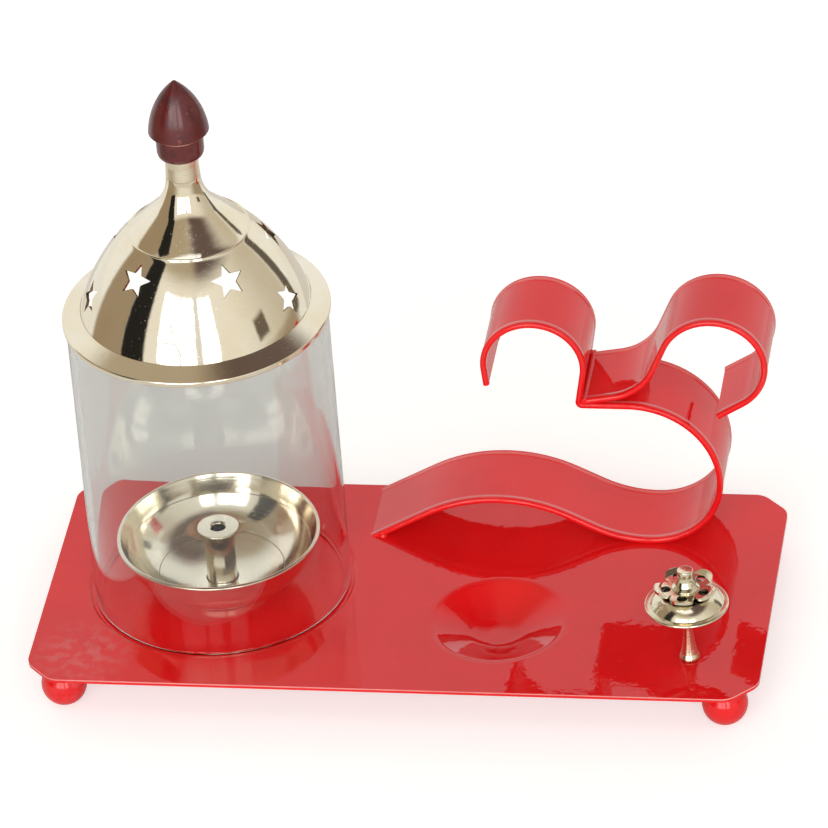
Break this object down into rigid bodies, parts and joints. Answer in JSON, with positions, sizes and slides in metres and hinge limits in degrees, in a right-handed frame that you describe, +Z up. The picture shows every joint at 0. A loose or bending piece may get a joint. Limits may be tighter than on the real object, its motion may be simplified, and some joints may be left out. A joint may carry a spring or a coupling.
{
  "type": "covered oil lamp stand",
  "caption": "Red enamelled tray on ball feet with a covered brass oil lamp under a glass chimney, a bent-strip Om figure, a pressed dish and a brass incense-stick holder.",
  "frame": {"origin": "on the floor under the middle of the tray", "axes": "+X right along the tray's long side, +Y towards the back where the Om figure stands, +Z up"},
  "size_m": [0.24, 0.114, 0.2098],
  "materials": {
    "red_enamel": "glossy red enamel",
    "polished_brass": "polished pale brass",
    "cast_brass": "tumbled cast brass",
    "clear_glass": "clear glass",
    "maroon_plastic": "satin maroon moulding",
    "plain_steel": "plain steel"
  },
  "bodies": {
    "stand": {"tray_plate": "red_enamel", "foot_front_left": "red_enamel", "foot_front_right": "red_enamel", "foot_rear_left": "red_enamel", "foot_rear_right": "red_enamel", "om_main_strip": "red_enamel", "om_tail_strip": "red_enamel", "om_end_weld": "red_enamel", "om_loop_weld": "red_enamel", "om_cusp_weld": "red_enamel", "incense_stem": "cast_brass", "incense_saucer": "cast_brass", "incense_flower": "cast_brass", "incense_hub": "cast_brass", "incense_screw": "plain_steel", "incense_washer": "plain_steel"},
    "diya": {"diya_bowl": "polished_brass", "wick_post": "polished_brass"},
    "chimney": {"glass_chimney": "clear_glass"},
    "lid": {"lid_brim": "polished_brass", "lid_dome": "polished_brass", "lid_neck": "polished_brass", "lid_knob": "maroon_plastic", "knob_insert": "polished_brass", "knob_screw": "plain_steel", "knob_washer": "plain_steel"}
  },
  "joints": [
    {"name": "diya_lift", "type": "slide", "parent": "stand", "child": "diya", "axis": [0, 0, 1], "range_m": [0, 0.06]},
    {"name": "chimney_lift", "type": "slide", "parent": "stand", "child": "chimney", "axis": [0, 0, 1], "range_m": [0, 0.14]},
    {"name": "lid_lift", "type": "slide", "parent": "chimney", "child": "lid", "axis": [0, 0, 1], "range_m": [0, 0.08]}
  ]
}
